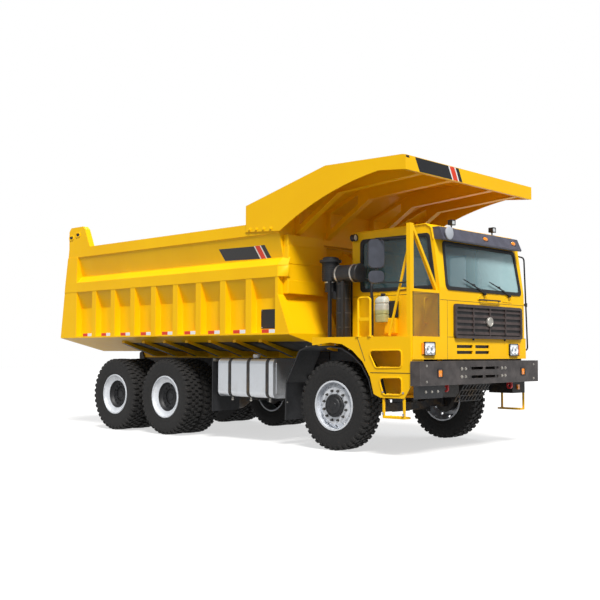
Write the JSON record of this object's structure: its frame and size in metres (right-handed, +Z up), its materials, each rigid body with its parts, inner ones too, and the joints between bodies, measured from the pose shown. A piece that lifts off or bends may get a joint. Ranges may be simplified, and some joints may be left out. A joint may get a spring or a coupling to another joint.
{
  "type": "mining dump truck",
  "caption": "Off-highway mining dump truck with an offset cab, a ribbed tipping bed with a rock canopy, twin rear axles and a front telescopic hoist.",
  "frame": {"origin": "on the ground under the middle of the overall length and width", "axes": "+X is the truck's left, +Y points rearwards and +Z up, so the front faces -Y"},
  "size_m": [3.59, 9.1552, 4.41],
  "materials": {
    "yellow_paint": "gloss paint",
    "dark_paint": "satin dark grey paint",
    "brown_grey_paint": "satin brown-grey paint",
    "rim_paint": "silver paint",
    "tyre_rubber": "black rubber",
    "black_plastic": "matt black",
    "white_plastic": "translucent white",
    "window_glass": "smoked clear glass",
    "lamp_glass": "clear",
    "amber_plastic": "clear amber",
    "red_plastic": "clear red",
    "tank_aluminium": "brushed",
    "cast_iron": "dark",
    "hoist_chrome": "polished",
    "seat_fabric": "woven dark grey"
  },
  "bodies": {
    "chassis": {"frame": "dark_paint", "rear_member": "dark_paint", "front_axle": "cast_iron", "front_springs": "dark_paint", "rear_axles": "cast_iron", "rear_suspension": "dark_paint", "driveline": "cast_iron", "radiator": "dark_paint", "bumper": "brown_grey_paint", "radiator_guard": "dark_paint", "cab_shell": "yellow_paint", "cab_glass": "window_glass", "cab_interior": "seat_fabric", "grille": "brown_grey_paint", "visor": "black_plastic", "headlamps": "lamp_glass", "amber_lamps": "amber_plastic", "work_lamps": "black_plastic", "tail_lamps": "red_plastic", "mirrors": "black_plastic", "wipers": "black_plastic", "deck_right": "yellow_paint", "platform_rails": "dark_paint", "deck_left": "dark_paint", "mudguards": "black_plastic", "air_cleaner": "dark_paint", "coolant_bottle": "white_plastic", "fuel_tank": "tank_aluminium", "tank_brackets": "dark_paint", "hydraulic_tank": "dark_paint"},
    "bed": {"bed_shell": "yellow_paint", "bed_ribs": "yellow_paint", "canopy": "yellow_paint"},
    "tailgate": {"tailgate": "yellow_paint"},
    "hoist_barrel": {"hoist_barrel": "dark_paint"},
    "hoist_stage1": {"hoist_stage1": "hoist_chrome"},
    "hoist_stage2": {"hoist_stage2": "hoist_chrome"},
    "hoist_stage3": {"hoist_stage3": "hoist_chrome"},
    "knuckle_left": {"knuckle_left": "cast_iron"},
    "knuckle_right": {"knuckle_right": "cast_iron"},
    "tie_rod": {"tie_rod": "cast_iron"},
    "door_left": {"door_left": "yellow_paint", "door_glass": "window_glass", "mirror_left": "black_plastic"},
    "wheel_front_left": {"tyre_front_left": "tyre_rubber", "rim_front_left": "rim_paint"},
    "wheels_axle2_left": {"tyres_axle2_left": "tyre_rubber", "rims_axle2_left": "rim_paint"},
    "wheels_axle3_left": {"tyres_axle3_left": "tyre_rubber", "rims_axle3_left": "rim_paint"},
    "wheel_front_right": {"tyre_front_right": "tyre_rubber", "rim_front_right": "rim_paint"},
    "wheels_axle2_right": {"tyres_axle2_right": "tyre_rubber", "rims_axle2_right": "rim_paint"},
    "wheels_axle3_right": {"tyres_axle3_right": "tyre_rubber", "rims_axle3_right": "rim_paint"}
  },
  "joints": [
    {"name": "bed_tilt", "type": "hinge", "parent": "chassis", "child": "bed", "pos_m": [0, 3.5585, 1.465], "axis": [-1, 0, 0], "range_deg": [0, 48]},
    {"name": "tailgate_swing", "type": "hinge", "parent": "bed", "child": "tailgate", "pos_m": [0, 4.2485, 3.88], "axis": [1, 0, 0], "range_deg": [0, 55]},
    {"name": "hoist_swing", "type": "hinge", "parent": "chassis", "child": "hoist_barrel", "pos_m": [0, -2.1415, 0.95], "axis": [-1, 0, 0], "range_deg": [0, 24.06]},
    {"name": "steering_left", "type": "hinge", "parent": "chassis", "child": "knuckle_left", "pos_m": [1.25, -2.8915, 0.69], "axis": [0, 0, 1], "range_deg": [-30, 30]},
    {"name": "steering_right", "type": "hinge", "parent": "chassis", "child": "knuckle_right", "pos_m": [-1.25, -2.8915, 0.69], "axis": [0, 0, 1], "range_deg": [-30.05, 30.05]},
    {"name": "tie_rod_travel", "type": "slide", "parent": "chassis", "child": "tie_rod", "axis": [1, 0, 0], "range_m": [-0.12, 0.12]},
    {"name": "door_left_swing", "type": "hinge", "parent": "chassis", "child": "door_left", "pos_m": [1.468, -4.2935, 2.5], "axis": [0, 0, -1], "range_deg": [0, 70]},
    {"name": "hoist_slide1", "type": "slide", "parent": "hoist_barrel", "child": "hoist_stage1", "axis": [0, 0.0948, 0.9955], "range_m": [0, 1.4666]},
    {"name": "hoist_slide2", "type": "slide", "parent": "hoist_stage1", "child": "hoist_stage2", "axis": [0, 0.0948, 0.9955], "range_m": [0, 1.4666]},
    {"name": "hoist_slide3", "type": "slide", "parent": "hoist_stage2", "child": "hoist_stage3", "axis": [0, 0.0948, 0.9955], "range_m": [0, 1.4666]},
    {"name": "wheel_front_left_spin", "type": "hinge", "parent": "knuckle_left", "child": "wheel_front_left", "pos_m": [1.455, -2.8915, 0.69], "axis": [1, 0, 0], "continuous": true},
    {"name": "wheels_axle2_left_spin", "type": "hinge", "parent": "chassis", "child": "wheels_axle2_left", "pos_m": [1.373, 1.1085, 0.69], "axis": [1, 0, 0], "continuous": true},
    {"name": "wheels_axle3_left_spin", "type": "hinge", "parent": "chassis", "child": "wheels_axle3_left", "pos_m": [1.373, 2.6685, 0.69], "axis": [1, 0, 0], "continuous": true},
    {"name": "wheel_front_right_spin", "type": "hinge", "parent": "knuckle_right", "child": "wheel_front_right", "pos_m": [-1.455, -2.8915, 0.69], "axis": [1, 0, 0], "continuous": true},
    {"name": "wheels_axle2_right_spin", "type": "hinge", "parent": "chassis", "child": "wheels_axle2_right", "pos_m": [-1.373, 1.1085, 0.69], "axis": [1, 0, 0], "continuous": true},
    {"name": "wheels_axle3_right_spin", "type": "hinge", "parent": "chassis", "child": "wheels_axle3_right", "pos_m": [-1.373, 2.6685, 0.69], "axis": [1, 0, 0], "continuous": true}
  ],
  "couplings": [
    {"joint": "hoist_swing", "follows": "bed_tilt", "ratio": 0.50025},
    {"joint": "hoist_slide1", "follows": "bed_tilt", "m_per_rad": 1.7482},
    {"joint": "hoist_slide2", "follows": "bed_tilt", "m_per_rad": 1.7482},
    {"joint": "hoist_slide3", "follows": "bed_tilt", "m_per_rad": 1.7482},
    {"joint": "steering_right", "follows": "steering_left", "ratio": 1},
    {"joint": "tie_rod_travel", "follows": "steering_left", "m_per_rad": -0.20531}
  ]
}
